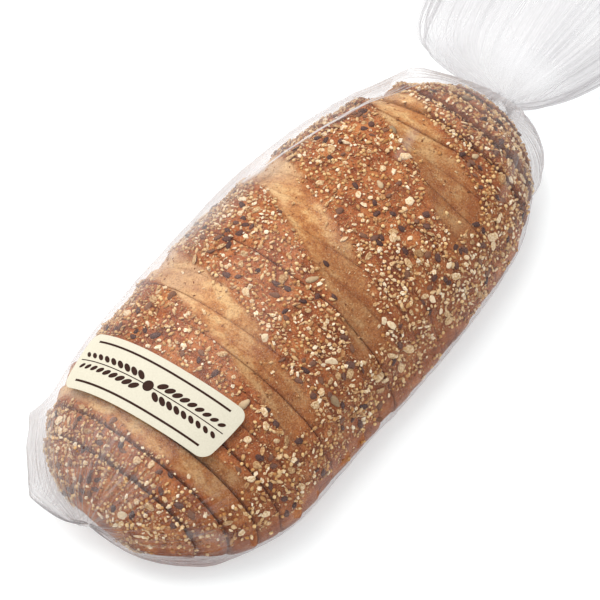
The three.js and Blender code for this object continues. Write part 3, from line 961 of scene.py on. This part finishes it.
def tail_ring(share, angle):
    """A ring of the flared tail, with many pleats that run out from the neck."""
    distance = TAIL_LENGTH * share
    side = np.where(np.cos(angle) > 0, opened(TAIL_LEFT, distance), opened(TAIL_RIGHT, distance))
    rise = np.where(np.sin(angle) > 0, opened(TAIL_UP, distance), opened(TAIL_DOWN, distance))
    broad = np.cos(11 * angle + 1.3 * np.sin(2 * angle))
    fine = pleats(angle, (19, 31, 53), 0.8)
    pleat = (0.6 + 2.6 * share ** 0.7) * broad + (0.5 + 2.2 * share ** 0.6) * fine
    y = (side + pleat - 1.0) * np.cos(angle)
    z = NECK_HEIGHT + (rise + 0.6 * pleat - 0.6) * np.sin(angle)
    ragged = 2.0 * share * np.sin(5 * angle + 0.7) - 3.0 * share
    x = NECK_X + NECK_LENGTH + distance * np.cos(TAIL_TURN) - y * np.sin(TAIL_TURN) + ragged
    y = distance * np.sin(TAIL_TURN) + y * np.cos(TAIL_TURN)
    return stack(x, y, np.maximum(z, TAIL_FLOOR_GAP))


def film_places(body, x, turn):
    """The share of each place at the film's points over the loaf. The flap is the folded right corner."""
    y, z = body[..., 1], body[..., 2]
    return {
        "standing off": ease(np.linalg.norm(body - crust_base(x, turn), axis=-1), 3, 12),
        "left": ease(y, 28, 62),
        "near left": ease(-x, 95, 140) * ease(y, -35, 25),
        "near end": ease(-x, 100, 142),
        "far end": ease(x, 96, 122),
        "right": ease(-y, 30, 56) * (1 - ease(z, 8, 20)),
        "flap": ease(-x, 112, 136) * ease(-y, -5, 28) * (1 - ease(z, 5, 18)),
        "folded": ridge_reach(x, turn) / 2.5,
    }


def make_film():
    angle = np.linspace(-np.pi / 2, 3 * np.pi / 2, FILM_AROUND, endpoint=False)
    end = -(NEAR_HALF_LENGTH + FILM_CLEARANCE)
    turn_in = NEAR_TURN_SHARE * (SHOULDER_X - end)
    stations = join([
        end + turn_in * (1 - np.cos(np.linspace(0.05, np.pi / 2, 28))),
        np.linspace(end + turn_in, SHOULDER_X, 112)[1:],
    ])
    x, turn = np.meshgrid(stations, angle, indexing="ij")
    over = film_over_loaf(x, turn)
    normal = outward(film_over_loaf, x, turn)
    wrinkle = np.where(over[..., 2] < 1.0, 0, film_wrinkles(over, x, turn))
    body = over + normal * wrinkle[..., None]
    body[..., 2] = np.maximum(body[..., 2], 0)
    shoulder_shares = np.linspace(0.04, 1, 26)
    tail_shares = np.linspace(0, 1, 60) ** 1.7
    shoulder = [shoulder_ring(share, angle) for share in shoulder_shares]
    tail = [tail_ring(share, angle) for share in tail_shares]
    surface = join([body, shoulder, tail])
    rows = len(surface)
    points = join([surface.reshape(-1, 3), [[end, 0, TIP_HEIGHT]]])
    ring = np.arange(FILM_AROUND)
    cap = stack(np.full(FILM_AROUND, rows * FILM_AROUND), np.roll(ring, -1), ring)
    piece = mesh_object("bag_film", points, [grid_faces(rows, FILM_AROUND), cap], FILM)
    places = film_places(body, x, turn)
    on_shoulder = len(stations)
    on_tail = on_shoulder + len(shoulder_shares)
    haze, creased, crust_reflection = np.zeros((3, rows, FILM_AROUND))
    for index, values in enumerate((haze, creased)):
        values[:on_shoulder] = PLAIN_FILM[index]
        for name, share in places.items():
            values[:on_shoulder] += FILM_PLACES[name][index] * share
    haze[on_shoulder:on_tail] = np.interp(shoulder_shares, (0, 1), SHOULDER_HAZE)[:, None]
    haze[on_tail:] = np.interp(tail_shares, (0, 1), TAIL_HAZE)[:, None]
    creased[on_shoulder:on_tail] = SHOULDER_CREASED
    creased[on_tail:] = TAIL_CREASED
    # Painted reflection of the crust, in shade, on the folded corner.
    crust_reflection[:on_shoulder] = places["flap"]
    cloud = noise(surface.reshape(-1, 3), 18, 61).reshape(haze.shape)
    set_attribute(piece, "haze", np.append(haze * (1 + 0.3 * cloud), 0.1))
    set_attribute(piece, "creased", np.append(creased * (1 + 0.6 * cloud), 0.1))
    set_attribute(piece, "crust_reflection", np.append(crust_reflection, 0))
    set_attribute(piece, "upper", ease(points[:, 2], 2, 8))
    set_attribute(piece, "turn", np.append(np.broadcast_to(CREASE_LINES * angle, haze.shape), 0))
    set_attribute(piece, "along", points[:, 0] / CREASE_LENGTH)
    return piece


# ---- the label ----

def label_section(x, angle, lift):
    return section_points(x, angle, FILM_CLEARANCE + LABEL_GAP + lift, FILM_UNDER_POWER)


# The label's middle line, from its right end: its angles, and the length along it to each.
LABEL_ANGLES = np.linspace(np.pi, 0, 3000)
label_line = label_section(LABEL_MIDDLE_X, LABEL_ANGLES, 0)
on_label = label_line[:, 1] > LABEL_RIGHT_Y
LABEL_ANGLES = LABEL_ANGLES[on_label]
label_steps = np.linalg.norm(np.diff(label_line[on_label], axis=0), axis=1)
LABEL_LENGTHS = np.append(0, np.cumsum(label_steps))


def label_points(length, across, lift):
    """Points of the label's face: length from its right end, and across from its middle along X."""
    angle = np.interp(length, LABEL_LENGTHS, LABEL_ANGLES)
    middle_y = label_section(LABEL_MIDDLE_X, angle, lift)[..., 1]
    return label_section(LABEL_MIDDLE_X + LABEL_LEAN * middle_y + across, angle, lift)


def make_label():
    """The paper: a thin curved plate with rounded corners."""
    corner = LABEL_CORNER * (1 - np.cos(np.linspace(0, np.pi / 2, 10)))
    lengths = join([
        corner, np.linspace(LABEL_CORNER, LABEL_LENGTH - LABEL_CORNER, 60)[1:-1], LABEL_LENGTH - corner[::-1],
    ])
    from_end = np.minimum(np.minimum(lengths, LABEL_LENGTH - lengths), LABEL_CORNER)
    rounding = LABEL_CORNER - np.sqrt(LABEL_CORNER ** 2 - (LABEL_CORNER - from_end) ** 2)
    reach = LABEL_WIDTH / 2 - rounding
    shares = np.linspace(-1, 1, 15)
    length, share = np.meshgrid(lengths, shares, indexing="ij")
    across = share * reach[:, None]
    under = label_points(length, across, 0)
    over = label_points(length, across, LABEL_THICKNESS)
    ring = join([under, over[:, ::-1]], axis=1)
    rows, columns = ring.shape[:2]
    ends = [np.arange(columns)[None], (rows - 1) * columns + np.arange(columns)[None, ::-1]]
    return mesh_object("label_paper", ring.reshape(-1, 3), [grid_faces(rows, columns), *ends], PAPER, False)


PRINT_LIFT = 0.03
PRINT_THICKNESS = 0.05
RULE_ASIDE = 10.2
RULE_HALF_WIDTH = 0.5
RULE_MARGIN = 7
STEM_HALF_WIDTH = 0.22
STEM_ENDS = (1.5, 41)
GRAINS_IN_ROW = 9
FIRST_GRAIN = 6
GRAIN_STEP = 4
GRAIN_HALF_LENGTH = 2.6
GRAIN_SHRINK = 0.1
GRAIN_ASIDE = 2.9
GRAIN_TILT = 0.6


def printed_line(start, end, count, across, half_width):
    """The closed outline of a line along the label, as points of length and across."""
    lengths = np.linspace(start, end, count)
    sides = [(lengths, across - half_width), (lengths[::-1], across + half_width)]
    return join([stack(line, np.full(count, aside)) for line, aside in sides])


def print_outlines():
    """A generic print: two rules along the label and two ears of wheat end to end between them."""
    middle = LABEL_LENGTH / 2
    outlines = [
        printed_line(RULE_MARGIN, LABEL_LENGTH - RULE_MARGIN, 50, across, RULE_HALF_WIDTH)
        for across in (-RULE_ASIDE, RULE_ASIDE)
    ]
    turn = np.linspace(0, 2 * np.pi, 16, endpoint=False)
    for side in (-1, 1):
        for step, flank in itertools.product(range(GRAINS_IN_ROW), (-1, 1)):
            spot = middle + side * (FIRST_GRAIN + GRAIN_STEP * step)
            size = GRAIN_HALF_LENGTH - GRAIN_SHRINK * step
            along = size * np.cos(turn)
            aside = 0.5 * size * np.sin(turn)
            tilt = flank * GRAIN_TILT
            outlines.append(stack(
                spot + side * (along * np.cos(tilt) - aside * np.sin(tilt)),
                flank * GRAIN_ASIDE + along * np.sin(tilt) + aside * np.cos(tilt),
            ))
        start, end = (middle + side * reach for reach in STEM_ENDS)
        outlines.append(printed_line(start, end, 40, 0, STEM_HALF_WIDTH))
    dot = stack(middle + GRAIN_HALF_LENGTH * np.cos(turn), GRAIN_HALF_LENGTH * np.sin(turn))
    return [*outlines, dot]


def make_print():
    """Each printed shape is a thin plate on the paper. Long ones are closed by strips, round ones by fans."""
    points, quads, caps, count = [], [], [], 0
    for outline in print_outlines():
        length, across = outline.T
        base = label_points(length, across, LABEL_THICKNESS + PRINT_LIFT)
        top = label_points(length, across, LABEL_THICKNESS + PRINT_LIFT + PRINT_THICKNESS)
        size = len(outline)
        points += [base, top]
        quads.append(count + grid_faces(2, size))
        if size > 40:
            first = np.arange(size // 2 - 1)
            strip = stack(first, first + 1, size - 2 - first, size - 1 - first)
            quads += [count + strip[:, ::-1], count + size + strip]
            count += 2 * size
            continue
        points.append(np.array([base.mean(axis=0), top.mean(axis=0)]))
        ring = np.arange(size)
        after = np.roll(ring, -1)
        hubs = np.full(size, 2 * size)
        caps.append(count + stack(hubs, after, ring))
        caps.append(count + stack(hubs + 1, size + ring, size + after))
        count += 2 * size + 2
    faces = [join(quads), join(caps)]
    return mesh_object("label_print", join(points), faces, INK, False)


# ---- building the object ----

CRUST = crust_material()
CRUMB = crumb_material()
FILM = film_material()
PAPER = plain_material(
    "label_paper", (0.7, 4, 0.6), (0.535, 0.495, 0.385), (0.605, 0.565, 0.450),
    {"Roughness": 0.55}, (0.15, 0.1))
INK = plain_material(
    "label_ink", (0.5, 2, 0.5), (0.022, 0.007, 0.004), (0.038, 0.013, 0.007),
    {"Roughness": 0.6, "Specular IOR Level": 0.1})

bread_pieces = [make_loaf(), *make_toppings(), make_film()]
for piece in bread_pieces:
    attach(piece, "root")
    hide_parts("bag")
for piece in (make_label(), make_print()):
    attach(piece, "root")
    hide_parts("label")


# ---- floor, light and camera ----

FLOOR_HALF_SIDE = 6.0
KEY_DISTANCE = 1.8
KEY_SIZE = 1.8
KEY_WATTS = 34
KEY_COLOUR = (1.0, 0.985, 0.96)
WORLD_COLOUR = (0.97, 0.985, 1.0, 1)
WORLD_STRENGTH = 0.82

# Level directions to the picture's right and away from the camera, straight up, and back to the camera.
RIGHT = np.array([np.cos(CAMERA_TURN), -np.sin(CAMERA_TURN), 0])
AWAY = np.array([np.sin(CAMERA_TURN), np.cos(CAMERA_TURN), 0])
OVERHEAD = np.array([0, 0, 1.0])
BACK = OVERHEAD * np.sin(CAMERA_RISE) - AWAY * np.cos(CAMERA_RISE)
KEY_DIRECTION = -0.55 * RIGHT + 0.45 * AWAY + 1.2 * OVERHEAD


def make_floor():
    mesh = bpy.data.meshes.new("floor")
    corners = [(x * FLOOR_HALF_SIDE, y * FLOOR_HALF_SIDE, 0) for x, y in ((-1, -1), (1, -1), (1, 1), (-1, 1))]
    mesh.from_pydata(corners, [], [(0, 1, 2, 3)])
    glow = {"Emission Color": (1, 1, 1), "Emission Strength": FLOOR_GLOW}
    mesh.materials.append(plain_material(
        "floor", (60, 3, 0.5), (0.648, 0.673, 0.683), (0.668, 0.693, 0.693),
        {"Roughness": 0.9, "Specular IOR Level": 0.1, **glow}))
    floor = put_in_scene("floor", mesh)


def make_camera():
    up = np.cross(BACK, RIGHT)
    aside = MM / CAMERA_SCALE * (CAMERA_AIM[0] * RIGHT + CAMERA_AIM[1] * up)
    aim = to_frame([0, 0, CAMERA_AIM_HEIGHT]) - aside
    data = bpy.data.cameras.new("camera")
    data.lens = data.sensor_width * CAMERA_SCALE * CAMERA_DISTANCE / PICTURE_SIDE
    data.clip_end = 20  # metres
    camera = put_in_scene("camera", data)
    turned = Matrix([RIGHT, up, BACK]).transposed().to_4x4()
    camera.matrix_world = Matrix.Translation(aim + BACK * CAMERA_DISTANCE * MM) @ turned
    bpy.context.scene.camera = camera


def make_lights():
    data = bpy.data.lights.new("key", "AREA")
    data.shape = "DISK"
    data.size = KEY_SIZE
    data.energy = KEY_WATTS
    data.color = KEY_COLOUR
    light = put_in_scene("key", data)
    middle = Vector(to_frame([0, 0, 30]))
    light.location = middle + Vector(KEY_DIRECTION).normalized() * KEY_DISTANCE
    light.rotation_euler = (middle - light.location).to_track_quat("-Z", "Y").to_euler()
    world = bpy.data.worlds.new("studio")
    world.use_nodes = True
    backdrop = world.node_tree.nodes["Background"]
    backdrop.inputs["Color"].default_value = WORLD_COLOUR
    backdrop.inputs["Strength"].default_value = WORLD_STRENGTH
    bpy.context.scene.world = world


make_floor()
make_camera()
make_lights()
bpy.context.scene.view_settings.view_transform = "Standard"
bpy.context.scene.cycles.transparent_max_bounces = 24

bpy.context.view_layer.update()
